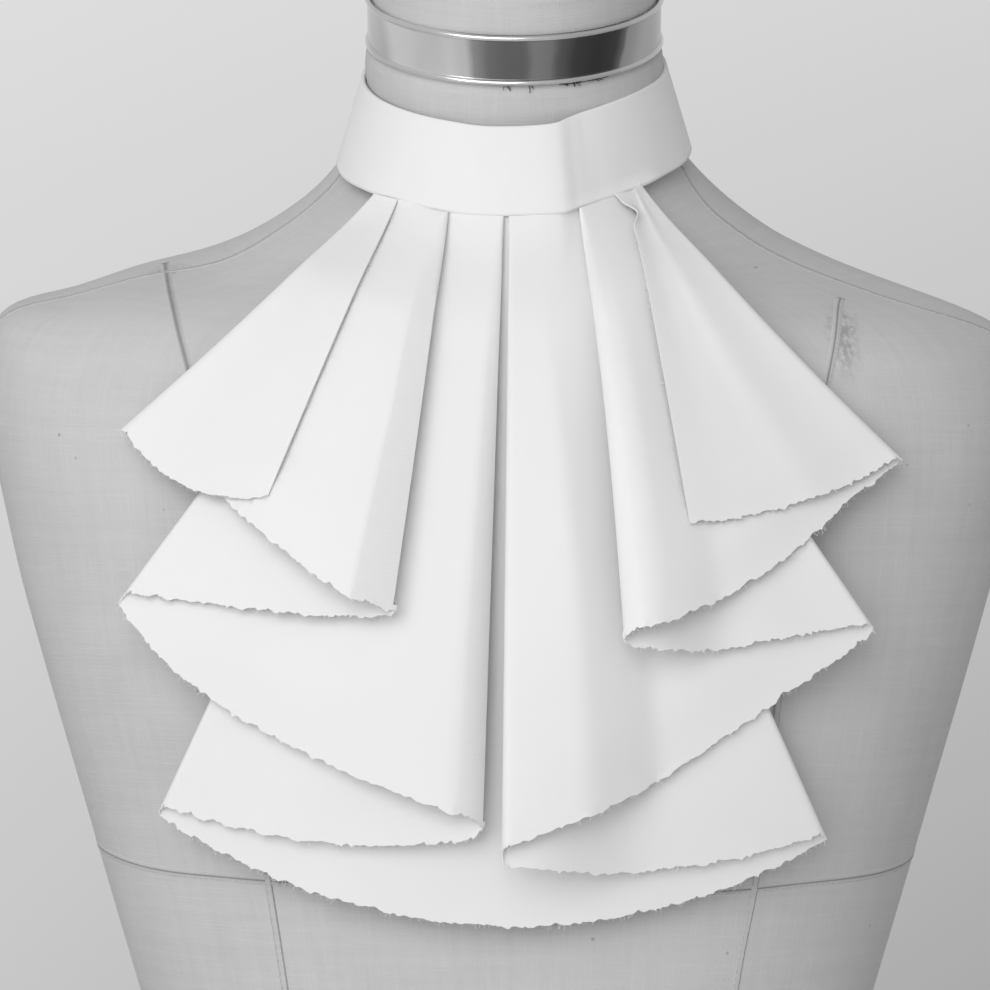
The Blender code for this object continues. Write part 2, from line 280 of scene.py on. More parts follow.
torsoTable = columns(
    "height halfWidth front back fullness centreY tilt",
    (0, 146, 104, 108, 2.3, 4, 0),
    (45, 150, 108, 112, 2.3, 4, 0),
    (110, 145, 105, 104, 2.3, 4, 0),
    (160, 132.5, 99.5, 93, 2.25, 4, 0),
    (200, 127.5, 97, 88, 2.2, 4, 0),
    (240, 132, 99, 90, 2.2, 4, 0),
    (281, 143.6, 105, 98, 2.3, 4, 0),
    (315, 153.7, 109, 104, 2.3, 4, 0),
    (360, 166.7, 114, 112, 2.35, 4, 0),
    (415, 182.6, 117, 118, 2.4, 4, 0),
    (460, 195, 112, 118, 2.3, 4, 0),
    (500, 203.5, 103, 114, 2.3, 4, 0),
    (525, 205, 95.5, 107, 2.15, 4, 0),
    (539, 204, 90.5, 102, 1.9, 4, 0),
    (546, 200, 88.5, 99.5, 1.7, 4, 0.5),
    (549.5, 190, 87, 98.5, 1.55, 4, 1.2),
    (553, 172, 85.5, 97, 1.47, 4, 2.2),
    (560, 151, 83, 94, 1.45, 4, 4.5),
    (566.5, 131, 80.5, 91, 1.5, 4, 7.5),
    (575, 113, 77.5, 87, 1.6, 4, 12),
    (586, 91, 72.5, 80, 1.8, 4, 17),
    (601, 75.6, 66, 70, 2, 4, 22),
)

neckTable = columns(
    "height halfWidth front back centreY",
    (601, 75.6, 66, 70, 4),
    (604.5, 71.3, 64.4, 67.6, 2.6),
    (609, 66.3, 62.6, 64.2, 1),
    (616, 61.9, 60.6, 61.1, -1.2),
    (626, 59.1, 58.7, 58.7, -3.8),
    (638.5, 57.8, 57.6, 57.6, -6.2),
    (645, 58.4, 57.4, 57.2, -8.1),
    (650, 58, 57, 56.8, -9.8),
    (653.6, 56.2, 56.2, 56.2, -11),
    (671.7, 55.6, 56, 56, -18.3),
    (683, 55.4, 55.8, 55.8, -22.9),
    (687, 53.6, 54, 54, -24.5),
    (689.6, 48.6, 49, 49, -25.6),
    (691.6, 38, 38.4, 38.4, -26.4),
)

bandTable = columns(
    "height halfWidth depth centreY",
    (610, 69.1, 67.4, 0),
    (642.5, 59, 59, -7.4),
)

chestTable = columns(
    "height front sideDrop",
    (300, 110, 19),
    (316, 111.5, 18),
    (360, 115.5, 16),
    (415, 117.5, 12),
    (460, 112.5, 11),
    (500, 103.5, 13),
    (530, 94.5, 14),
    (548, 88, 17),
    (560, 82.5, 23),
    (573, 75.5, 36),
    (583, 70, 50),
    (594, 66.5, 60),
)

# Fold lines from the first free edge of the ruffle to the last: where each leaves the band, its angle, side
# bend and length; the side its fold opens to, and how its hem is stepped, bulged and skewed; how far the fold
# stands out and how wide it is at the hem, each with the power of its growth; and the share of a flat facet
# in its round, with how far its front and back are pressed
foldTable = columns(
    "topX angle bow length side step bulge skew depth depthPower roll rollPower flat press back",
    (-43.8, -22, 0, 116.7, 0, 0, 6, 0, 26.6, 0.8, 0, 1, 0, 1, 1),
    (-54.1, -45.7, 2.3, 125.2, -1, 1, -8, -1.5, 8.5, 1.1, 1.6, 0.3, 0, 1, 1),
    (-22.8, -6.9, 0.6, 148.3, 1, 4, -2.5, 0, 23, 0.75, 17, 0.62, 0.95, 0.58, 0.16),
    (-37, -35.6, 1, 180.3, -1, 4, 2, 1.7, 13, 1.1, 1.3, 0.3, 0, 1, 1),
    (-1.6, -1.75, 0, 226.2, 1, 6, 1.7, 0, 15, 1, 12, 0.7, 0.8, 0.54, 0.15),
    (-21.8, -25.5, 0, 248.5, -1, 2.5, 9.5, -0.3, 8, 1.1, 1.5, 0.3, 0, 1, 1),
    (11.6, 24.4, 0, 255.9, 1, 2, 2.2, 0, 8, 1.1, 1.5, 0.3, 0, 1, 1),
    (0.8, -0.7, 0, 234.8, -1, 4.5, -4, 1.5, 13, 1.1, 3, 0.5, 0, 1, 0.6),
    (29.4, 33.7, -1, 188.8, 1, 2.5, -2, -1.5, 11.5, 1.1, 1.3, 0.3, 0, 1, 1),
    (27.4, 5.1, 1.2, 159.5, -1, 4.5, -1.5, 2, 20, 0.95, 8, 0.6, 0.5, 0.8, 0.3),
    (54.5, 42.2, -3, 136.8, 1, 2, -0.3, 0, 8.5, 1.1, 1.6, 0.3, 0, 1, 1),
    (46.6, 9.1, 0, 122.6, 0, 0, 0, 0, 27, 0.9, 0, 1, 0, 1, 1),
)
layers = len(foldTable["side"]) - 1


def tiltedHeight(x, y, centre, roll=0.0, tilt=None):
    lean = neckLean if tilt is None else np.radians(tilt)
    return centre[2] + (y - centre[1]) * np.tan(lean) + (x - centre[0]) * math.tan(math.radians(roll))


# Dress form

form = {
    "sides": 224,
    "sideSamples": 12,  # points tried between two of them, to set them evenly
    "torsoRows": 230,
    "neckRows": 90,
    "softPasses": 26,
    "softHeights": (490, 40, 599, 12),  # where the softening comes in and how soon, and where it ends
    "jointPasses": 60,
    "jointHeights": (578, 14, 628, 14),
    "shoulderFrom": (430, 110),  # height where the lifts come in, and over what
    "shoulderLifts": ((105.0, 45.0, 4.8), (165.0, 40.0, 5.5)),  # from the middle, reach and height of each
    "hollow": (7.5, 3.0),  # at the root of the neck, by the wearer's right and left
    "hollowHeights": (574, 23, 613, 16),
    "hollowFrom": (15, 50),  # the same from the middle
    "colour": 0.505,
    "threadPitch": 0.00072,
    "threadRun": 45.0,  # how often a thread changes along it, in a metre
    "slubs": (230.0, 9.0),  # how often thick threads come, and change along them
    "weaveMiddle": 0.56,
    "toneShares": (0.46, 0.46, 0.22),  # of the weave, the blotches and the slubs
    "markShares": (0.9, 0.95, 1.1),  # of the specks, the worn patches and the painted shade in the seams
    "toneRange": (0.82, 1.18),
    "darkest": -1.4,
    "wornEdge": 1.6,
}


def ovalPoints(centre, halfWidth, front, back, fullness, tilt, sides):
    angle = np.arange(sides) * 2 * math.pi / sides
    across = np.sign(np.cos(angle)) * np.abs(np.cos(angle)) ** (2 / fullness)
    along = np.sign(np.sin(angle)) * np.abs(np.sin(angle)) ** (2 / fullness)
    x = centre[0] + halfWidth * across
    y = centre[1] + np.where(along > 0, back, front) * along
    return np.stack([x, y, tiltedHeight(x, y, centre, 0.0, tilt)], axis=-1)


# The same oval with its points at even distances
def evenOval(*shape, sides):
    fine = ovalPoints(*shape, sides * form["sideSamples"])
    loop = np.concatenate([fine, fine[:1]])
    walked = walkedTo(loop)
    places = np.arange(sides) / sides * walked[-1]
    return np.stack([np.interp(places, walked, loop[:, axis]) for axis in range(3)], axis=-1)


def torsoRing(height):
    lean = float(smooth(torsoTable, "tilt", height))
    centre = (neck["x"] * lean / neck["tilt"], float(smooth(torsoTable, "centreY", height)), height)
    sizes = [float(smooth(torsoTable, name, height)) for name in ("halfWidth", "front", "back", "fullness")]
    return evenOval(centre, *sizes, lean, sides=form["sides"])


def neckRing(height, out=0.0, sides=None):
    centre = (neck["x"], float(smooth(neckTable, "centreY", height)), height)
    sizes = [float(smooth(neckTable, name, height)) + out for name in ("halfWidth", "front", "back")]
    return evenOval(centre, *sizes, 2.0, neck["tilt"], sides=sides or form["sides"])


# Rings averaged with their neighbours up and down, as far as each one's share
def softened(rings, shares, passes):
    for _ in range(passes):
        middle = (rings[:-2] + 2 * rings[1:-1] + rings[2:]) / 4
        rings[1:-1] += (middle - rings[1:-1]) * shares[1:-1, None, None]
    return rings


# Rings of the torso and the neck, soft where the shoulders turn over and where the two meet
def formRings():
    torsoHeights = np.linspace(0, torsoTable["height"][-1], form["torsoRows"])
    neckHeights = np.linspace(*neckTable["height"][[0, -1]], form["neckRows"])
    torso = np.array([torsoRing(h) for h in torsoHeights])
    torso = softened(torso, window(torsoHeights, *form["softHeights"]), form["softPasses"])
    low, rise = form["shoulderFrom"]
    for start, reach, lift in form["shoulderLifts"]:
        high = ease((torso[..., 2] - low) / rise)
        torso[..., 2] += lift * high * ease((-torso[..., 0] - start) / reach)
    rings = hollowed(np.concatenate([torso, [neckRing(h) for h in neckHeights[1:]]]))
    heights = np.concatenate([torsoHeights, neckHeights[1:]])
    rings = softened(rings, window(heights, *form["jointHeights"]), form["jointPasses"])
    around = np.roll(rings, -1, axis=1) - np.roll(rings, 1, axis=1)
    normals = unit(np.cross(around, np.gradient(rings, axis=0)))
    top = len(torsoHeights)
    return (rings[:top], normals[:top]), (rings[top - 1:], normals[top - 1:])


# Rings drawn in where the neck meets the shoulders
def hollowed(rings):
    x, z = rings[..., 0], rings[..., 2]
    size = np.where(x < 0, *form["hollow"])
    start, reach = form["hollowFrom"]
    rings[..., 0] -= np.sign(x) * size * window(z, *form["hollowHeights"]) * ease((np.abs(x) - start) / reach)
    return rings


# Closed skin through rings of equal counts, with a UV map in metres round and up it
def skin(name, rings, normals, material):
    rows, count = rings.shape[:2]
    faces = [tuple(range(count))[::-1], *cells(rows, count, False, True)]
    faces.append(tuple(range((rows - 1) * count, rows * count)))
    made = meshOf(name, rings.reshape(-1, 3), faces, material)
    normals = normals.reshape(-1, 3)
    made.data.normals_split_custom_set([
        tuple(face.normal if len(face.vertices) > 4 else normals[v])
        for face in made.data.polygons for v in face.vertices])
    closed = np.concatenate([rings, rings[:, :1]], axis=1)
    around = np.cumsum(np.linalg.norm(np.diff(closed, axis=1), axis=2), axis=1)
    around = np.concatenate([np.zeros((rows, 1)), around], axis=1)
    middle = around[rows // 2]
    up = np.concatenate([[0], np.cumsum(np.linalg.norm(np.diff(rings, axis=0), axis=2).mean(axis=1))])
    uvs = []
    for face in made.data.polygons:
        wraps = {v % count for v in face.vertices} >= {0, count - 1}
        for v in face.vertices:
            k = v % count
            k = count if wraps and k == 0 else k
            uvs += [middle[k] * mm, up[v // count] * mm]
    layer = made.data.uv_layers.new(name="cloth")
    layer.data.foreach_set("uv", uvs)
    return made


# Rubbed patches of the cover, by their middles and how far they reach along each axis
wornPatches = (((127, -60, 533), (7.5, 26, 26)), ((-133, -16, 563), (6, 12, 6)))


def wear(made):
    points = np.array([v.co[:] for v in made.data.vertices]) / mm
    worn = np.zeros(len(points))
    for middle, reach in wornPatches:
        far = np.linalg.norm((points - middle) / reach, axis=1)
        worn = np.maximum(worn, ease(form["wornEdge"] - form["wornEdge"] * far))
    carry(made.data, "worn", worn)


def linenMaterial():
    material, shader, start = newMaterial("linen", grey(form["colour"]), 0.92)
    uv = start.node("ShaderNodeUVMap", {"uv_map": "cloth"})
    fine, run, slubs = 1 / form["threadPitch"], form["threadRun"], form["slubs"]
    threads = []
    for scale in ((fine, run), (run, fine), slubs, slubs[::-1]):
        stretched = start.node("ShaderNodeMapping", None, {0: uv, 3: (*scale, 1.0)})
        threads.append(stretched.noise(1.0, 1.0))
    warp, weft, slub, slubUp = threads
    weave = warp.maths("MAXIMUM", weft)
    place = start.objectPlace()
    blotch = place.noise(16.0, 4.0, 0.6)
    speck = start.node("ShaderNodeTexVoronoi", None, {"Vector": place, "Scale": 60.0}).between(0.06, 0.025)
    tall = start.node("ShaderNodeMapping", None, {0: place, 3: (1.0, 1.0, 0.35)})
    worn = start.carried("worn") * tall.noise(480.0, 3.0).between(0.36, 0.62)
    weaveShare, blotchShare, slubShare = form["toneShares"]
    tone = (weave - form["weaveMiddle"]) * weaveShare + (blotch - 0.5) * blotchShare
    tone = tone + (slub - 0.5) * slubShare + (slubUp - 0.5) * slubShare + 0.5
    marks = zip((speck, worn, start.carried("grooveShade")), form["markShares"])
    for mark, share in marks:
        tone = tone - mark * share
    tone = tone.maths("MAXIMUM", form["darkest"])
    low, high = (form["colour"] * share for share in form["toneRange"])
    linkTo(shader, "Base Color", (tone * (high - low) + low).greyed())
    linkTo(shader, "Normal", weave.bump(0.5, 0.0003))
    return material


# Seams of the cover

seam = {
    "step": 2.0,
    "softPasses": 6,
    "foot": -0.8,
    "pucker": 0.12,
    "puckerLength": 5.0,
    "puckerWander": (1.3, 11),  # how far the puckers shift, and how slowly
    "puckerRise": 0.4,  # height of a seam where they are whole
    "stitches": {"Spacing": 2.6, "Length": 1.7, "Width": 0.34, "Seed": 3},
    "stitchWidths": (0.8, 1.2),
    "stitchHeight": 0.8,
}

# Each kind's shape across, from one edge to the middle; how much painted shade each point of the whole gets,
# most where it dips between its ridges and under a felled seam's lapped edge; and where its stitches run
seamKinds = {
    "plain": (
        ((-2.2, -0.1), (-1.5, 0.08), (-0.7, 0.22), (-0.32, 0.19), (0.0, 0.02)),
        (0, 0, 0.1, 0.6, 1.5, 0.6, 0.1, 0, 0), ((1.15, 0.14),)),
    "felled": (
        ((-1.8, -0.1), (-1.3, 0.05), (-1.1, 0.36), (-0.8, 0.42), (0.0, 0.30)),
        (0, 0.35, 0.2, 0, 0.1, 0, 0.8, 1.2, 0), ((-0.85, 0.38), (0.85, 0.38))),
    "sunk": (
        ((-2.0, -0.1), (-1.4, 0.10), (-0.9, 0.26), (-0.45, 0.16), (0.0, 0.03)),
        (0, 0, 0.5, 1.0, 1.3, 1.0, 0.5, 0, 0), ()),
}

# Where they run, by places near the form's surface; a closed one's last place runs on into its first
backSeam = ((118, 62, 540), (105, 98, 490), (92, 118, 420), (82, 108, 330), (72, 92, 240), (70, 90, 200),
            (76, 96, 150), (84, 106, 100), (86, 110, 50), (84, 108, 4))
sideSeam = ((205, 6, 500), (192, 4, 450), (166, 4, 360), (143, 4, 281), (128, 4, 200), (145, 4, 110),
            (146, 4, 4))


def mirrored(places):
    return tuple((-x, *others) for x, *others in places)


seamLines = (
    ("plain", False, (
        (-205, 6, 498), (-207, 0, 522), (-204, -8, 540), (-197, -13, 548), (-180, -16, 551), (-159, -18, 556),
        (-135, -18, 563), (-110, -20, 572), (-88, -14, 583), (-76, -8, 589), (-70, -5, 596), (-66, -3, 603))),
    ("plain", False, (
        (205, 6, 498), (208, -4, 514), (206, -14, 529), (199, -18, 537), (188, -20, 540), (167, -26, 546),
        (149, -27, 552), (133, -24, 558), (110, -22, 569), (88, -20, 582), (78, -17, 589), (72, -12, 598),
        (69, -8, 605))),
    ("sunk", False, (
        (-134, -6, 566), (-132, -22, 560), (-128, -45, 546), (-121, -74, 527), (-112, -95, 490),
        (-104, -108, 450), (-97, -108, 400), (-90, -95, 340))),
    ("felled", False, (
        (-90, -95, 336), (-83, -89, 292), (-77, -86, 240), (-75, -84, 200), (-78, -86, 150), (-85, -92, 100),
        (-88, -96, 50), (-86, -94, 4))),
    ("plain", False, ((128, -40, 551), (126, -47, 546), (120, -78, 519), (113, -98, 480), (107, -105, 440))),
    ("felled", False, (
        (107, -105, 440), (100, -99, 400), (93, -93, 336), (86, -89, 298), (79, -86, 240), (76, -84, 200),
        (79, -86, 150), (86, -92, 100), (89, -96, 50), (87, -94, 4))),
    ("plain", False, mirrored(backSeam)),
    ("plain", False, backSeam),
    ("felled", False, (
        (2, 72, 622), (2, 96, 560), (0, 118, 470), (0, 120, 400), (0, 100, 300), (0, 92, 200), (0, 106, 110),
        (0, 112, 4))),
    ("plain", False, mirrored(sideSeam)),
    ("plain", False, sideSeam),
    ("plain", True, (
        (0, -110, 329), (-60, -105, 331), (-103, -88, 333), (-126, -72, 334), (-154, -36, 338),
        (-160, 10, 342), (-140, 70, 344), (-70, 108, 345), (0, 112, 346), (70, 108, 345), (140, 70, 343),
        (160, 10, 338), (154, -33, 334), (117, -78, 331), (81, -96, 329))),
)


# Points of a soft line through places, step apart
def alongPlaces(places, step, closed):
    places = np.array(places, float)
    if closed:
        knots = np.concatenate([places[-1:], places, places[:2]])
    else:
        knots = np.concatenate([2 * places[:1] - places[1:2], places, 2 * places[-1:] - places[-2:-1]])
    parts = []
    for a, b, c, d in zip(knots, knots[1:], knots[2:], knots[3:]):
        t = np.arange(max(2, int(np.linalg.norm(c - b) / step)))[:, None]
        t = t / len(t)
        curve = (c - a) * t + (2 * a - 5 * b + 4 * c - d) * t ** 2 + (3 * b - a - 3 * c + d) * t ** 3
        parts.append(b + curve / 2)
    return np.concatenate(parts if closed else parts + [places[-1:]])


def nearestOn(tree, points):
    found = [tree.find_nearest(Vector((point * mm).tolist()))[:2] for point in points]
    return np.array([list(point) for point, _ in found]) / mm, np.array([list(normal) for _, normal in found])


# The same line laid on the form, with the ways out of it, along it and across it
def laidOn(tree, places, closed):
    line, out = nearestOn(tree, alongPlaces(places, seam["step"], closed))
    for _ in range(seam["softPasses"]):
        for values in (line, out):
            if closed:
                values += (np.roll(values, 1, 0) + np.roll(values, -1, 0) - 2 * values) / 4
            else:
                values[1:-1] += (values[:-2] + values[2:] - 2 * values[1:-1]) / 4
    line = nearestOn(tree, line)[0]
    along = np.roll(line, -1, 0) - np.roll(line, 1, 0) if closed else np.gradient(line, axis=0)
    out, along = unit(out), unit(along)
    return line, out, along, unit(np.cross(out, along))


def makeSeams(tree, material):
    points, faces, grooveShades, uvs, stitchLines = [], [], [], [], []
    shift, slowness = seam["puckerWander"]
    for kind, closed, places in seamLines:
        line, out, along, across = laidOn(tree, places, closed)
        half, dark, stitches = seamKinds[kind]
        profile = (*half, *mirrored(half[-2::-1]))
        feet = [side for side, rise in (profile[-1], profile[0])]
        count, wide = len(line), len(profile) + len(feet)
        walked = walkedTo(line)
        turns = walked * 2 * math.pi / seam["puckerLength"] + shift * np.sin(walked / slowness)
        pucker = np.sin(turns) * seam["pucker"]
        start, end = len(points), len(points) + count * wide
        for k in range(count):
            for side, rise in profile:
                height = rise + pucker[k] * max(0.0, min(rise, seam["puckerRise"])) / seam["puckerRise"]
                points.append(line[k] + across[k] * side + out[k] * height)
            points += [line[k] + across[k] * side + out[k] * seam["foot"] for side in feet]
            grooveShades += [*dark, 0, 0]
            uvs += [(side * mm, walked[k] * mm) for side in (*(side for side, rise in profile), *feet)]
        faces += [tuple(start + corner for corner in cell) for cell in cells(count, wide, closed, True)]
        if not closed:
            faces += [tuple(range(start, start + wide))[::-1], tuple(range(end - wide, end))]
        for side, height in stitches:
            stitchLines.append((line + across * side + out * height, along, out, closed))
    made = meshOf("form_seams", np.array(points), faces, material)
    outwards(made)
    # Painted shade where each seam dips and under its lapped edges
    carry(made.data, "grooveShade", grooveShades)
    setUv(made, np.array(uvs))
    return made, stitchLines


def outwards(made):
    mesh = bmesh.new()
    mesh.from_mesh(made.data)
    bmesh.ops.recalc_face_normals(mesh, faces=mesh.faces)
    mesh.to_mesh(made.data)
    mesh.free()


# Lines of edges that carry directions, for Geometry Nodes to put stitches or threads on
def guideLines(name, lines, names):
    points, edges, carried = [], [], [[] for _ in names]
    for line, *ways, closed in lines:
        start = len(points)
        points += (line * mm).tolist()
        edges += [(start + k, start + k + 1) for k in range(len(line) - 1)]
        if closed:
            edges.append((start + len(line) - 1, start))
        for held, way in zip(carried, ways):
            held.append(way)
    mesh = bpy.data.meshes.new(name)
    mesh.from_pydata(points, edges, [])
    for label, held in zip(names, carried):
        carry(mesh, label, np.concatenate(held), "FLOAT_VECTOR")
    return linked(bpy.data.objects.new(name, mesh))


# A tree that takes a mesh of guide lines, sizes in metres and a seed
def newTree(name, *sizes):
    tree = bpy.data.node_groups.new(name, "GeometryNodeTree")
    sockets = [("Geometry", "Geometry"), *((size, "Float") for size in sizes), ("Seed", "Int")]
    for label, kind in sockets:
        tree.interface.new_socket(label, in_out="INPUT", socket_type="NodeSocket" + kind)
    tree.interface.new_socket("Geometry", in_out="OUTPUT", socket_type="NodeSocketGeometry")
    start = Value(tree, None).node("NodeGroupInput")
    return tree, {socket.name: Value(tree, socket) for socket in start.socket.node.outputs if socket.name}


# One thing on each point of the guide lines, made real and in its material
def finishTree(given, thing, turn, size, material):
    start = given["Geometry"]
    things = start.node("GeometryNodeInstanceOnPoints", None, {
        "Points": spaced(start, given["Spacing"]), "Instance": thing, "Rotation": turn, "Scale": size})
    real = things.node("GeometryNodeRealizeInstances", None, {0: things})
    soft = real.node("GeometryNodeSetShadeSmooth", None, {0: real})
    dressed = soft.node("GeometryNodeSetMaterial", None, {"Geometry": soft, "Material": material})
    end = dressed.tree.nodes.new("NodeGroupOutput")
    dressed.tree.links.new(dressed.socket, end.inputs[0])


def named(start, label):
    return start.node("GeometryNodeInputNamedAttribute", {"data_type": "FLOAT_VECTOR"}, {"Name": label})


def spaced(start, spacing):
    curve = start.node("GeometryNodeMeshToCurve", None, {0: start})
    return curve.node("GeometryNodeResampleCurve", {"mode": "LENGTH"}, {"Curve": curve, "Length": spacing})


def randomValue(start, kind, low, high, seed):
    place, output = (0, 0) if kind == "FLOAT_VECTOR" else (2, 1)
    return start.node("FunctionNodeRandomValue", {"data_type": kind}, {
        place: low, place + 1: high, "Seed": seed}, output)


def stitchTree(material):
    tree, given = newTree("stitches", "Spacing", "Length", "Width")
    start = given["Geometry"]
    bead = start.node("GeometryNodeMeshUVSphere", None, {"Segments": 6, "Rings": 4, "Radius": 0.5})
    turn = start.node("FunctionNodeAxesToRotation", {"primary_axis": "Z", "secondary_axis": "X"}, {
        0: named(start, "out"), 1: named(start, "along")})
    wide = given["Width"] * randomValue(start, "FLOAT", *seam["stitchWidths"], given["Seed"])
    high = given["Width"] * seam["stitchHeight"]
    size = start.node("ShaderNodeCombineXYZ", None, {0: given["Length"], 1: wide, 2: high})
    finishTree(given, bead, turn, size, material)
    return tree


strand = {
    "bend": ((0, 0, 0), (0.0, 0.0, 0.55), (0.30, 0.0, 0.95)),  # start, middle and end for a length of one
    "spread": 0.7,
    "shortest": 0.3,
    "longer": 1.8,  # how much longer the longest ones are
    "fewLong": 2.2,  # the more, the fewer long ones
}


def threadTree(material):
    tree, given = newTree("frayed threads", "Spacing", "Length", "Radius")
    start = given["Geometry"]
    path = start.node("GeometryNodeCurveQuadraticBezier", None, {
        "Resolution": 4, **dict(zip(("Start", "Middle", "End"), strand["bend"]))})
    circle = start.node("GeometryNodeCurvePrimitiveCircle", {"mode": "RADIUS"}, {
        "Resolution": 3, "Radius": given["Radius"] / given["Length"]})
    thread = start.node("GeometryNodeCurveToMesh", None, {
        "Curve": path, "Profile Curve": circle, "Fill Caps": True})
    low, high = ((way * strand["spread"],) * 3 for way in (-1, 1))
    spread = randomValue(start, "FLOAT_VECTOR", low, high, given["Seed"])
    way = start.node("ShaderNodeVectorMath", {"operation": "ADD"}, {0: named(start, "outward"), 1: spread})
    spin = start.node("ShaderNodeCombineXYZ", None, {
        2: randomValue(start, "FLOAT", 0.0, 2 * math.pi, given["Seed"] + 1)})
    turn = start.node("FunctionNodeAlignRotationToVector", {"axis": "Z"}, {
        "Rotation": start.node("FunctionNodeEulerToRotation", None, {0: spin}), "Vector": way})
    share = randomValue(start, "FLOAT", 0.0, 1.0, given["Seed"] + 2) ** strand["fewLong"]
    size = share * given["Length"] * strand["longer"] + given["Length"] * strand["shortest"]
    finishTree(given, thread, turn, size, material)
    return tree


# The guide lines' tree run once, with sizes given in millimetres
def grown(made, tree, settings):
    modifier = made.modifiers.new(tree.name, "NODES")
    modifier.node_group = tree
    for socket in tree.interface.items_tree:
        if socket.in_out == "INPUT" and socket.name in settings:
            scale = mm if socket.socket_type == "NodeSocketFloat" else 1
            modifier[socket.identifier] = settings[socket.name] * scale
    bake(made)
    return made


def threadMaterial(name, colour):
    material, shader, start = newMaterial(name, grey(colour), 0.85)
    fibre = start.objectPlace().noise(900.0, 2.0)
    linkTo(shader, "Base Color", fibre.mixed(grey(colour * 0.85), grey(colour * 1.12)))
    return material


# Cotton

cotton = {
    "colour": 0.765,
    "threadPitch": 0.00038,
    "wander": 2.0,  # how far its threads stray, against their distance
    "toneShares": (0.10, 0.5),  # of the weave and the soft clouds
    "toneRange": (0.965, 1.02),
}


def cottonMaterial():
    material, shader, start = newMaterial("cotton", grey(cotton["colour"]), 0.88)
    shader.inputs["Sheen Weight"].default_value = 0.12
    shader.inputs["Sheen Roughness"].default_value = 0.5
    uv = start.node("ShaderNodeUVMap", {"uv_map": "cloth"})
    turns = 2 * math.pi / cotton["threadPitch"]
    wander = uv.noise(500.0, 2.0)
    warp, weft = ((way * turns + wander * cotton["wander"]).maths("SINE") for way in uv.parts()[:2])
    weave = warp * weft
    weaveShare, cloudShare = cotton["toneShares"]
    tone = weave * weaveShare + (uv.noise(35.0, 3.0) - 0.5) * cloudShare + 0.5
    darker, lighter = (grey(cotton["colour"] * share) for share in cotton["toneRange"])
    linkTo(shader, "Base Color", tone.mixed(darker, lighter))
    linkTo(shader, "Normal", weave.bump(0.25, 0.0001))
    return material


# The band's crease and facet by degrees to the wearer's left of the front: how far it stands out, how far
# its upper edge dips, and how far its lower edge rises
facetTable = columns(
    "degrees out dip rise",
    (-75, 0, 0, 0),
    (-60, 0, 0.3, 0.8),
    (-42, 0.5, 0.8, 2.4),
    (-25, 1.4, 1.6, 1),
    (-8, 2.7, 2.6, 0),
    (4, 3.7, 2.6, 0),
    (13, 4.6, 2.4, 0),
    (14, 4.6, 2.3, 0),
    (20, 1.7, 1.4, 0.2),
    (30, -1.5, 0.4, 0.4),
    (45, -3.1, -0.3, 0.6),
    (60, -2.4, -0.5, 0.3),
    (75, -0.7, 0, 0),
    (88, 0, 0, 0),
)


def seamLift(x):
    return smooth(facetTable, "rise", bandDegrees(x))


# Ruffle: one sheet, folded into eleven layers

ruffle = {
    "thickness": 0.55,
    "pitch": 1.0,  # between two layers where they are sewn to the band
    "solidPitch": 2.2,  # the same in the solid, where the fan lines start
    "tuck": 0.9,  # how far the layers run up behind the band
    "seamFade": 45.0,
    "seamPasses": 4,
    "roundTo": 0.8,  # share of the band's width past which its curve goes on straight
    "seamBehind": (0.3, 0.05),  # how far they lie behind the band's face, and more to the sides
    "solidBehind": (0.5, 0.11),
    "slantFade": 2,  # how soon the folds leave the band's curve, turn flat and are pressed
    "flatGrowth": 4,
    "pressGrowth": 12,
    "columnStep": 3.4,
    "foldSegments": 11,
    "crisp": 0.9,  # folds with a flatter facet have fine columns beside their creases
    "creaseShare": 0.012,
    "creaseTurn": 0.08,
    "sharpDegrees": 42.0,
    "edgeShares": (0.005, 0.015),  # of a layer's width: fine columns beside the free edges
    "rows": 80,
    "rowPower": 1.25,
    "curlReach": 0.35,  # of a layer's width
    "hemFine": 4,  # fine columns to each wide one along the hem
    "hemDepth": 4.0,
    "hemRows": (0.55, 0.25, 0.08, 0.0),  # shares of that depth
    "hemDrop": 1.8,  # how far the hems lean towards the layer beneath them
    "dropFrom": 0.88,
    "raggedness": 0.62,
    "raggedSteps": ((1, 0.36), (2, 0.55), (5, 0.40), (13, 0.30), (37, 0.38)),  # fine columns, and their share
    "raggedSeed": 7,
    "hiddenRows": 3,  # of the free edges, under the band
    "holeRadius": 30.0,
    "threads": {"Spacing": 0.8, "Length": 1.0, "Radius": 0.055, "Seed": 11},
    "flat": (0.457, 0.457),
    "flatArea": 0.160,
}


def chestY(x, height):
    return smooth(chestTable, "sideDrop", height) * (x / 100) ** 2 - smooth(chestTable, "front", height)


def bandY(x, out=0.0):
    half, depth = bandTable["halfWidth"][0] + out, bandTable["depth"][0] + out
    across = np.abs(x - neck["x"]) / half
    edge = np.minimum(across, ruffle["roundTo"])
    drop = np.sqrt(1 - edge * edge)
    return bandTable["centreY"][0] - depth * (drop - (across - edge) * edge / drop)


def seamHeight(x, y):
    centre = (neck["x"], bandTable["centreY"][0], bandTable["height"][0])
    return tiltedHeight(x, y, centre, neck["collarRoll"]) - 2 * neck["seamGap"]


# Degrees round the neck of a point of the band's lower edge, to the wearer's left of the front
def bandDegrees(x):
    return np.degrees(np.arcsin(np.clip((x - neck["x"]) / bandTable["halfWidth"][0], -1, 1)))


def clothY(x, height, out, solid=False):
    below = seamHeight(x, bandY(x)) - height
    fade = np.maximum(0, 1 - np.maximum(0, below) / ruffle["seamFade"]) ** 2
    gap, slope = ruffle["solidBehind" if solid else "seamBehind"]
    facet = 0 if solid else smooth(facetTable, "out", bandDegrees(x))
    atSeam = bandY(x, out - gap - slope * np.abs(x) + facet)
    return (1 - fade) * (chestY(x, height) - out) + fade * atSeam


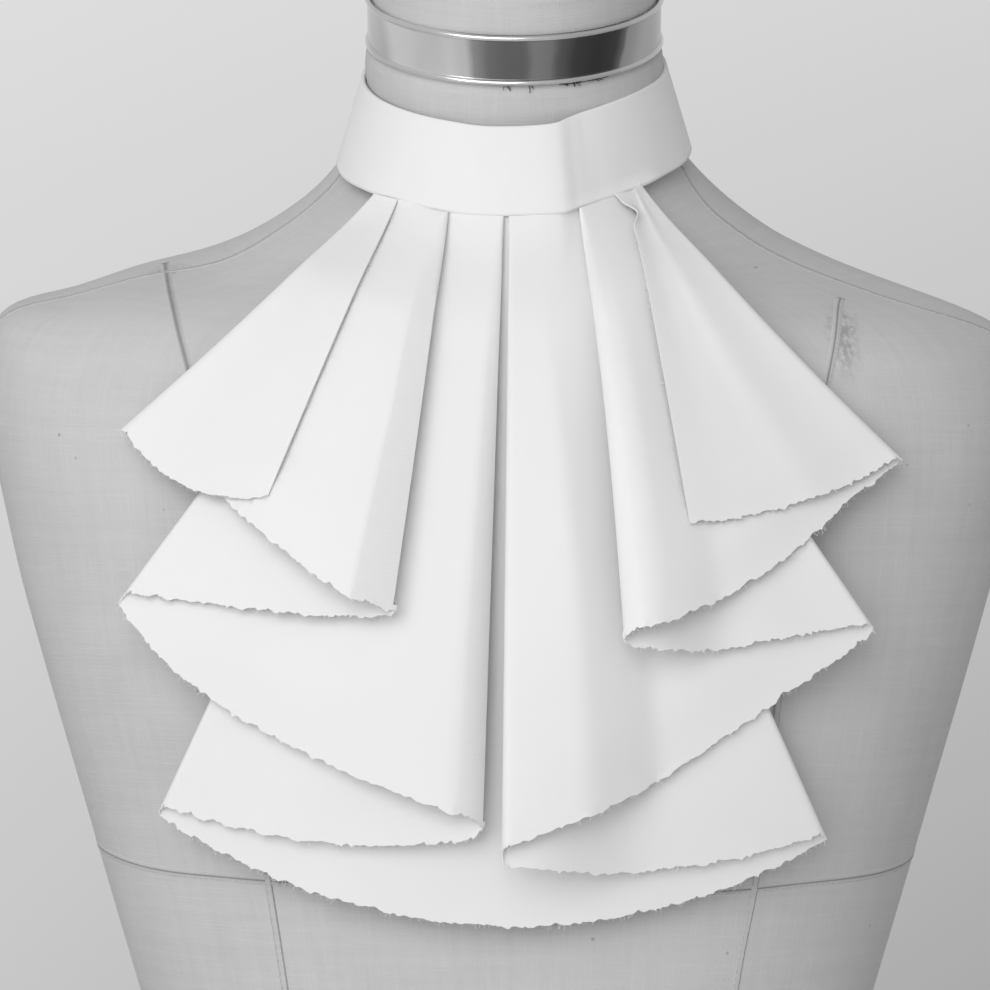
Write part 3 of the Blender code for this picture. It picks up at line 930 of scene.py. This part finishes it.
# The sizes of fold line i for a turn round its fold, at shares of its length down the cloth
def foldLine(i, turn, down):
    fold = {name: values[i] for name, values in foldTable.items()}
    forward = np.where(i < layers / 2, 1.0, -1.0)
    front = np.abs(i - layers / 2)
    sided = fold["side"] != 0
    atSeam = np.where(sided, front, front - 0.5)
    seamDepth = ruffle["pitch"] * atSeam
    rollAtSeam = np.where(sided, ruffle["pitch"] / 2, 0.0)
    topSlant = (fold["topX"] - neck["x"]) / bandTable["halfWidth"][0]
    line = {}
    for key, place in (("", down), ("AtSeam", down * 0)):
        depth = seamDepth + (fold["depth"] - seamDepth) * place ** fold["depthPower"]
        roll = rollAtSeam + np.maximum(0, fold["roll"] - rollAtSeam) * place ** fold["rollPower"]
        slant = topSlant * np.maximum(0, 1 - place * ruffle["slantFade"])
        flat = fold["flat"] * np.minimum(1, place * ruffle["flatGrowth"])
        quarter = 1 - np.abs(1 - 2 * turn / math.pi)
        sine = np.sin(turn) * (1 - flat) + quarter * flat
        cosine = np.cos(turn) * (1 - flat) + (1 - 2 * turn / math.pi) * flat
        inward = -fold["side"] * (1 - sine) * np.sqrt(1 - slant * slant)
        line["pull" + key] = roll * (inward + forward * cosine * slant)
        pressed = np.where(forward * cosine > 0, fold["press"], fold["back"])
        kept = 1 - (1 - pressed) * np.minimum(1, place * ruffle["pressGrowth"])
        line["depth" + key] = depth + forward * roll * cosine * kept
    line["length"] = fold["length"] - forward * fold["step"] * np.cos(turn) + down * 0
    line["solidDepth"] = ruffle["solidPitch"] * (atSeam + forward * np.cos(turn) / 2 * sided) + down * 0
    for name in ("topX", "angle", "bow"):
        line[name] = fold[name] + down * 0
    return line


# Where each column of the cloth lies: its layer, its place across it, and its turn round a fold
def stationList(step, segments):
    stations = []
    crisp = foldTable["flat"] > ruffle["crisp"]
    for i in range(layers):
        spread = math.radians(abs(foldTable["angle"][i + 1] - foldTable["angle"][i]))
        count = max(4, round(spread * foldTable["length"][i : i + 2].mean() / step))
        shares = [k / count for k in range(count + 1)]
        if i == 0:
            shares[1:1] = ruffle["edgeShares"]
        if i == layers - 1:
            shares[-1:-1] = [1 - share for share in ruffle["edgeShares"][::-1]]
        if crisp[i]:
            shares.insert(1, ruffle["creaseShare"])
        if crisp[i + 1]:
            shares.insert(-1, 1 - ruffle["creaseShare"])
        stations += [(i, math.pi if foldTable["side"][i] else 0.0, share) for share in shares]
        if i + 1 < layers:
            turns = list(np.linspace(0, math.pi, segments + 1)[1:-1])
            if crisp[i + 1]:
                turns = [ruffle["creaseTurn"], *turns, math.pi - ruffle["creaseTurn"]]
            stations += [(i + 1, turn, 0.0) for turn in turns]
    return np.array(stations)


# Soft troughs and ridges of the cloth: where they start and end across the layers, half their width there,
# how far they come forward, and where they fade in and out down the cloth
waveTable = columns(
    "start end width rise fadeIn fadeOut",
    (10.45, 10.40, 0.10, 0.7, -0.02, 0.10),
    (10.75, 10.82, 0.20, -1.2, 0.05, 0.30),
    (10.30, 10.35, 0.16, 1, 0.05, 0.40),
    (4.35, 4.50, 0.25, 1.4, 0.10, 0.40),
    (3.30, 3.45, 0.14, -1.5, 0.20, 0.50),
    (0.55, 0.45, 0.25, 0.8, 0.10, 0.40),
    (8.55, 8.40, 0.20, 1.4, 0.20, 0.50),
    (5.40, 5.30, 0.10, 2, 0.50, 0.80),
    (5.75, 5.80, 0.09, -1.6, 0.50, 0.80),
    (1.60, 1.55, 0.20, 1, 0.10, 0.50),
)


# Creased terraces beside the inner folds: where they rise and fall across the layers at the band and at the
# hem, how far they come forward, and where they fade in and out down the cloth
terraceTable = columns(
    "rise0 rise1 fall0 fall1 end0 end1 height fadeIn fadeOut",
    (6.55, 6.95, 7.24, 7.17, 7.66, 7.36, 12.5, 0.03, 0.55),
    (8.60, 8.97, 9.10, 9.035, 9.46, 9.26, 8.5, 0.04, 0.55),
)


def waves(stations, down):
    place = stations[:, 0] + stations[:, 2]
    total = 0.0
    for rise0, rise1, fall0, fall1, end0, end1, height, fadeIn, fadeOut in zip(*terraceTable.values()):
        fall = fall0 + (fall1 - fall0) * down
        end = end0 + (end1 - end0) * down
        shape = ease((place - rise0) / (rise1 - rise0)) * (1 - crease((place - fall) / (end - fall)))
        total = total + height * shape * ease((down - fadeIn) / fadeOut)
    for start, end, width, rise, fadeIn, fadeOut in zip(*waveTable.values()):
        middle = start + (end - start) * down
        total = total + rise * np.exp(-((place - middle) / width) ** 2) * ease((down - fadeIn) / fadeOut)
    return total


# The free edge by the wearer's left of the band: how far it is pulled sideways and lifted down its length
curlTable = columns(
    "down pull lift",
    (0, -5, 0),
    (0.03, -2.5, 1),
    (0.065, 2.2, 2.4),
    (0.11, -0.3, 1.8),
    (0.17, 0, 0.9),
    (0.35, 0, 0.2),
    (1, 0, 0),
)


def edgeCurl(stations, down):
    reach = ruffle["curlReach"]
    near = ease((stations[:, 0] + stations[:, 2] - layers + reach) / reach) ** 2
    down = np.clip(down, 0, 1)
    return smooth(curlTable, "lift", down) * near, smooth(curlTable, "pull", down) * near


# Points of the cloth and its lines there: stations by columns, down and extra by rows and columns
def clothPoints(stations, down, extra=0.0):
    i = stations[:, 0].astype(int)
    turn, across = stations[:, 1], stations[:, 2]
    first = foldLine(i, turn, down)
    last = foldLine(np.minimum(i + 1, layers), across * 0, down)
    line = {name: first[name] * (1 - across) + last[name] * across for name in first}
    share = ease(across)
    for end, inner in ((0, 1 - across), (layers - 1, across)):
        run = 2 * inner ** 2 - inner ** 3
        share = np.where(i == end, run if end else 1 - run, share)
    for name in ("depth", "depthAtSeam", "solidDepth"):
        line[name] = first[name] + (last[name] - first[name]) * share
    line["length"] += foldTable["bulge"][np.minimum(i, layers)] * 4 * across * (1 - across)
    line["length"] += foldTable["skew"][np.minimum(i, layers)] * np.sin(2 * math.pi * across)
    x0 = line["topX"] + line["pullAtSeam"]
    y0 = bandY(x0)
    for _ in range(ruffle["seamPasses"]):
        y0 = clothY(x0, seamHeight(x0, y0), line["solidDepth"], True)
    z0 = seamHeight(x0, y0)
    lean = np.radians(line["angle"])
    sewn = seamHeight(x0, clothY(x0, z0, line["depthAtSeam"])) + ruffle["tuck"] + seamLift(x0)
    tuck = np.maximum(0, sewn - z0) / np.cos(lean)
    run = line["length"] * down - tuck * (1 - down) + extra
    lift, pull = edgeCurl(stations, down)
    sideways = line["bow"] * np.sin(math.pi * np.clip(down, 0, 1)) + line["pull"] - line["pullAtSeam"] + pull
    x = x0 + run * np.sin(lean) + sideways * np.cos(lean)
    z = z0 - run * np.cos(lean) + sideways * np.sin(lean)
    middle = np.where(i == 0, np.maximum(across, 0.5), across)
    middle = np.where(i == layers - 1, np.minimum(across, 0.5), middle)
    drop = np.sin(math.pi * middle) * ease((down - ruffle["dropFrom"]) / (1 - ruffle["dropFrom"]))
    out = line["depth"] + waves(stations, down) + lift - ruffle["hemDrop"] * drop
    return np.stack([x, clothY(x, z, out), z], axis=-1), line


# The stations with finer ones between them, along the hem
def betweenStations(stations, times):
    fine = [stations[:1]]
    for a, b in zip(stations[:-1], stations[1:]):
        end = b.copy()
        if a[0] != b[0]:
            end = np.array([a[0], a[1], 1.0])
            if b[1] > 0 and b[2] == 0 and a[2] == 1.0:
                a = np.array([b[0], 0.0, 0.0])
                end = b
        share = np.arange(1, times + 1)[:, None] / times
        fine.append(a + (end - a) * share)
        fine[-1][-1] = b
    return np.concatenate(fine)


def makeRuffle(material):
    stations = stationList(ruffle["columnStep"], ruffle["foldSegments"])
    times, depth = ruffle["hemFine"], ruffle["hemDepth"]
    fineStations = betweenStations(stations, times)
    count, fineCount = len(stations), len(fineStations)
    length = clothPoints(stations, np.ones((1, count)))[1]["length"][0]
    fineLength = clothPoints(fineStations, np.ones((1, fineCount)))[1]["length"][0]
    rows = np.linspace(0, 1, ruffle["rows"])[:, None] ** ruffle["rowPower"]
    body = clothPoints(stations, rows * (1 - depth / length)[None])[0]
    hemRows = np.array(ruffle["hemRows"])[:, None]
    ragged = raggedEdge(fineCount)[None] * (1 - hemRows)
    hem = clothPoints(fineStations, 1 - hemRows * depth / fineLength[None], ragged)[0]
    print("ruffle:", count, "columns,", fineCount, "along the hem")
    points = np.concatenate([body.reshape(-1, 3), hem.reshape(-1, 3)])
    faces = gridFaces(len(rows), count)
    start = len(rows) * count
    for c in range(count - 1):
        top = start - count + c
        faces.append((top + 1, top, *range(start + times * c, start + times * (c + 1) + 1)))
    faces += [tuple(v + start for v in face) for face in gridFaces(len(hemRows), fineCount)]
    made = meshOf("ruffle_cloth", points, faces, material)
    bodyRun = rows * (length - depth)[None] + ruffle["holeRadius"]
    hemRun = fineLength[None] - hemRows * depth + ruffle["holeRadius"]
    flat = []
    for run, angle in ((bodyRun, flatAngles(stations)), (hemRun, flatAngles(fineStations))):
        flat.append(np.stack([run * np.sin(angle)[None], -run * np.cos(angle)[None]], axis=-1).reshape(-1, 2))
    setUv(made, np.concatenate(flat) * mm)
    shell(made, ruffle["thickness"])
    made.data.set_sharp_from_angle(angle=math.radians(ruffle["sharpDegrees"]))
    fraying = [(hem[-1], unit(hem[-1] - hem[-2]), False)]
    for column, inside in ((0, 1), (-1, -2)):
        edge, inner = (body[ruffle["hiddenRows"]:, k] for k in (column, inside))
        fraying.append((edge, unit(edge - inner), False))
    return made, fraying


# Angle of each column in the flat cut, from its first free edge
def flatAngles(stations):
    spreads = np.abs(np.diff(foldTable["angle"]))
    starts = np.concatenate([[0], np.cumsum(spreads)])
    i = stations[:, 0].astype(int)
    return np.radians(starts[i] + stations[:, 2] * np.append(spreads, 0.0)[i])


def raggedEdge(count):
    rng = np.random.default_rng(ruffle["raggedSeed"])
    total = np.zeros(count)
    for step, size in ruffle["raggedSteps"]:
        knots = rng.normal(0, 1, count // step + 3)
        total += size * np.interp(np.arange(count) / step, np.arange(len(knots)), knots)
    return total * ruffle["raggedness"]


def gridFaces(rows, count):
    return [(b, a, d, c) for a, b, c, d in cells(rows, count)]


def setUv(made, flat):
    layer = made.data.uv_layers.new(name="cloth")
    index = np.zeros(len(made.data.loops), int)
    made.data.loops.foreach_get("vertex_index", index)
    layer.data.foreach_set("uv", flat[index].ravel())


def shell(made, thickness):
    solid = made.modifiers.new("thickness", "SOLIDIFY")
    solid.thickness = thickness * mm
    solid.offset = 0.0
    bake(made)


def bake(made):
    graph = bpy.context.evaluated_depsgraph_get()
    mesh = bpy.data.meshes.new_from_object(made.evaluated_get(graph))
    made.modifiers.clear()
    made.data = mesh


# Collar band

band = {
    "thickness": 1.7,
    "lap": 26.0,
    "lapLift": 2.0,  # how far the outer end stands off the inner one
    "lapSlope": 3,  # laps over which it rises
    "segments": 420,
    "rows": 34,
    "facetFade": (0.35, 0.8),  # share of its bulge and of its dent that is gone at the upper edge
    "flare": 1.7,  # how far its lower edge stands out over the ruffle
    "flareHeight": 0.16,  # share of its height
    "flareEnds": (62, 14),  # degrees from the front, and how soon it fades before them
    "flareMiddle": (0.45, 45),  # share of it at the front, and the degrees where it is whole
    "dipPower": 1.5,
    "clothHeight": 34.0,
    "flat": (0.450, 0.036),
}


def bandPoints(turn, share, out):
    lower, upper = ({name: values[end] for name, values in bandTable.items()} for end in (0, 1))
    size = {name: lower[name] * (1 - share) + upper[name] * share for name in bandTable}
    lap = band["lap"] / lower["depth"]
    angle = math.pi / 2 - lap / 2 + turn
    normal = unit(np.stack([size["depth"] * np.cos(angle), size["halfWidth"] * np.sin(angle)], axis=-1))
    lift = ease(1 + (turn - 2 * math.pi) / (band["lapSlope"] * lap)) * (band["lapLift"] + neck["seamGap"])
    degrees = np.degrees(angle - 1.5 * math.pi)
    facet = smooth(facetTable, "out", degrees)
    facet = facet * (1 - np.where(facet > 0, *band["facetFade"]) * share)
    ends, fade = band["flareEnds"]
    front, whole = band["flareMiddle"]
    flare = band["flare"] * ease((ends - np.abs(degrees)) / fade)
    flare = flare * np.maximum(0, 1 - share / band["flareHeight"]) ** 2
    flare = flare * (front + (1 - front) * np.minimum(1, np.abs(degrees) / whole))
    out = out + lift + facet + flare
    x = neck["x"] + size["halfWidth"] * np.cos(angle) + normal[..., 0] * out
    y = size["centreY"] + size["depth"] * np.sin(angle) + normal[..., 1] * out
    centre = (neck["x"], size["centreY"], size["height"])
    edges = smooth(facetTable, "rise", degrees) * (1 - share) ** 2
    edges = edges - smooth(facetTable, "dip", degrees) * share ** band["dipPower"]
    return np.stack([x, y, tiltedHeight(x, y, centre, neck["collarRoll"]) + edges], axis=-1)


def makeBand(material):
    depth = bandTable["depth"][0]
    turn = np.linspace(0, 2 * math.pi + band["lap"] / depth, band["segments"] + 1)[None]
    share = np.linspace(0, 1, band["rows"] + 1)[:, None]
    turn, share = np.broadcast_arrays(turn, share)
    faces = gridFaces(*turn.shape)
    made = meshOf("band_cloth", bandPoints(turn, share, 0.0).reshape(-1, 3), faces, material)
    flat = np.stack([turn * depth, share * band["clothHeight"]], axis=-1)
    setUv(made, flat.reshape(-1, 2) * mm)
    shell(made, band["thickness"])
    return made


# Neck ring

ring = {
    "base": 653.6,
    "height": 19.5,
    "wall": 0.8,
    "roll": 1.1,
    "rollSteps": 12,
    "edgeRows": (0.4, 2.0),  # rows beside the rolled rims
    "sides": 240,
    "rimShare": 0.75,
    "rimColour": 0.80,
    "reflectionMiddle": 14.0,  # how far in front of the origin the neck's middle lies at the ring, which the painted reflection turns round
    "reflectionWander": 0.012,
}


def makeRing(material):
    inner, outer = neck["seamGap"], neck["seamGap"] + ring["wall"]
    roll, steps = ring["roll"], ring["rollSteps"]
    low, high = roll * 2, ring["height"] - roll * 2
    near = ring["edgeRows"]
    profile = [(inner, 0.0), (inner, ring["height"])]
    for centre in (high + roll, low - roll):
        for k in range(steps + 1):
            turn = math.radians(90 - 180 * k / steps)
            profile.append((outer + roll * math.cos(turn), centre + roll * math.sin(turn)))
        if centre > low:
            downs = (*near, (high - low) / 2, *(high - low - down for down in near[::-1]))
            profile += [(outer, high - down) for down in downs]
    rings = [neckRing(ring["base"], out, ring["sides"]) + neckAxis * up for out, up in profile]
    faces = [(a, d, c, b) for a, b, c, d in cells(len(rings), ring["sides"], True, True)]
    made = meshOf("neck_ring_metal", np.concatenate(rings), faces, material)
    rim = [float(out > outer and not low < up < high) for out, up in profile]
    carry(made.data, "rim", np.repeat(rim, ring["sides"]))
    return made


# Painted reflection: greys painted into the polished metal's colour in place of the room it reflects, by
# degrees to the wearer's left of the front
paintedReflectionGreys = columns(
    "degrees grey",
    (-180, 0.50), (-168, 0.20), (-155, 0.45), (-128, 0.72), (-112, 0.25), (-98, 0.60), (-75, 0.60),
    (-64, 0.70), (-52, 1.00), (-38, 0.98), (-27, 0.82), (-19, 0.62), (-14.5, 0.28), (-9, 0.17), (-3, 0.15),
    (3, 0.16), (8, 0.28), (13, 0.28), (18, 0.15), (25, 0.085), (33, 0.07), (41, 0.08), (44.5, 0.16),
    (47, 0.42), (60, 0.56), (78, 0.50), (100, 0.55), (118, 0.18), (132, 0.45), (150, 0.70), (180, 0.50),
)


def steelMaterial():
    material, shader, start = newMaterial("steel", grey(0.72), 0.2, 1.0)
    middle = (-neck["x"] * mm, ring["reflectionMiddle"] * mm, 0.0)
    place = start.node("ShaderNodeMapping", None, {0: start.objectPlace(), 1: middle})
    x, y, _ = place.parts()
    wander = place.noise(60.0, 3.0)
    turn = x.maths("ARCTAN2", -y) * (0.5 / math.pi) + 0.5 + (wander - 0.5) * ring["reflectionWander"]
    # Reflections are painted into the base colour by the angle round the neck; the rolled rims get a plain
    # light grey instead
    paintedReflection = start.node("ShaderNodeValToRGB", None, {0: turn})
    ramp = paintedReflection.socket.node.color_ramp
    ramp.elements.remove(ramp.elements[1])
    for degrees, level in zip(*paintedReflectionGreys.values()):
        stop = ramp.elements.new(degrees / 360 + 0.5) if degrees > -180 else ramp.elements[0]
        stop.color = grey(level)
    ramp.interpolation = "EASE"
    rim = start.carried("rim") * ring["rimShare"]
    linkTo(shader, "Base Color", rim.mixed(paintedReflection, grey(ring["rimColour"])))
    linkTo(shader, "Roughness", wander * 0.12 + 0.16)
    return material


# Dark threads frayed out under the front of the ring, the last run of them a painted shadow line in the gap
# under it:
# where each run starts and ends across it, and how far its threads turn along the ring and down the neck
frayAndShadowTable = columns(
    "start end along down",
    (-1.5, 0.9, 0.5, 1.3),
    (7.9, 9.6, 0.3, 1.1),
    (24.9, 27.3, 0.2, 1.2),
    (19.5, 36.5, 3.5, 0.2),
)

fray = {
    "out": 1.3,
    "below": 0.15,
    "guideSteps": 8,
    "colour": 0.03,
    "threads": {"Spacing": 0.32, "Length": 1.3, "Radius": 0.10, "Seed": 5},
}


def frayAndShadowLines():
    rim = neckRing(ring["base"], fray["out"], ring["sides"])
    front = rim[len(rim) // 2 :] - (0, 0, fray["below"])
    lines = []
    for start, end, along, down in zip(*frayAndShadowTable.values()):
        x = np.linspace(start, end, fray["guideSteps"])
        line = np.stack([x, *(np.interp(x, front[:, 0], front[:, axis]) for axis in (1, 2))], axis=-1)
        lines.append((line, unit(np.gradient(line, axis=0)) * along - neckAxis * down, False))
    return lines


def worldLight():
    world = bpy.data.worlds.new("studio")
    bpy.context.scene.world = world
    world.use_nodes = True
    tree = world.node_tree
    start = Value(tree, None)
    right, back, up = start.node("ShaderNodeTexCoord").parts()
    reach = studio["wallReach"]
    right, up = (way.maths("MAXIMUM", -reach).maths("MINIMUM", reach) for way in (right, up))
    fall, rise, both = studio["wallFall"]
    wall = right * fall + up * rise + right * up * both + studio["wallLight"]
    light = back.between(*studio["wallEdge"]) * (wall - studio["skyLight"]) + studio["skyLight"]
    linkTo(tree.nodes["Background"], "Color", light.greyed())


def main():
    print("room")
    bpy.context.scene.view_settings.view_transform = "Standard"
    makeCamera()
    worldLight()
    softBox("key", studio["keyAt"], studio["keySize"], studio["keyPower"])
    softBox("fill", studio["fillAt"], studio["fillSize"], studio["fillPower"])
    reach = studio["floorReach"]
    floorLook = newMaterial("floor", grey(studio["floorColour"]), 0.8)[0]
    corners = [(-reach, -reach, 0), (reach, -reach, 0), (reach, reach, 0), (-reach, reach, 0)]
    meshOf("floor", corners, [(0, 1, 2, 3)], floorLook, False)

    print("dress form")
    linen = linenMaterial()
    torsoShape, (neckRings, neckNormals) = formRings()
    torso = skin("torso_cover", *torsoShape, linen)
    wear(torso)
    neckCover = skin("neck_cover", neckRings + (0, 0, neck["jointGap"]), neckNormals, linen)

    print("neck ring")
    metal = makeRing(steelMaterial())
    darkThread = threadTree(threadMaterial("dark_thread_and_shadow", fray["colour"]))
    # Frayed threads under the ring, with one run standing in as painted shadow in the gap below it
    looseAndShadow = grown(guideLines("ring_threads_and_shadow_line", frayAndShadowLines(), ("outward",)), darkThread, fray["threads"])

    print("seams of the cover")
    corners, triangles = [], []
    for cover in (torso, neckCover):
        cover.data.calc_loop_triangles()
        triangles += [[v + len(corners) for v in t.vertices] for t in cover.data.loop_triangles]
        corners += [v.co[:] for v in cover.data.vertices]
    tree = BVHTree.FromPolygons(corners, triangles)
    seams, stitchLines = makeSeams(tree, linen)
    stitch = stitchTree(threadMaterial("linen_thread", form["colour"] * 0.8))
    stitches = grown(guideLines("form_stitches", stitchLines, ("along", "out")), stitch, seam["stitches"])

    print("cloth")
    white = cottonMaterial()
    collar = makeBand(white)
    cloth, fraying = makeRuffle(white)
    cottonThread = threadTree(threadMaterial("cotton_thread", cotton["colour"]))
    threads = grown(guideLines("hem_threads", fraying, ("outward",)), cottonThread, ruffle["threads"])

    for piece, slot in ((seams, "linen"), (stitches, "linen"), (looseAndShadow, "linen"), (threads, "cotton")):
        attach(piece, "root")
    for piece, node, slot in (
        (torso, "form_torso", "linen"),
        (neckCover, "form_neck", "linen"),
        (metal, "neck_ring", "polished_metal"),
        (collar, "collar_band", "cotton"),
        (cloth, "ruffle", "cotton"),
    ):
        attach(piece, "root")
        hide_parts(node)


main()
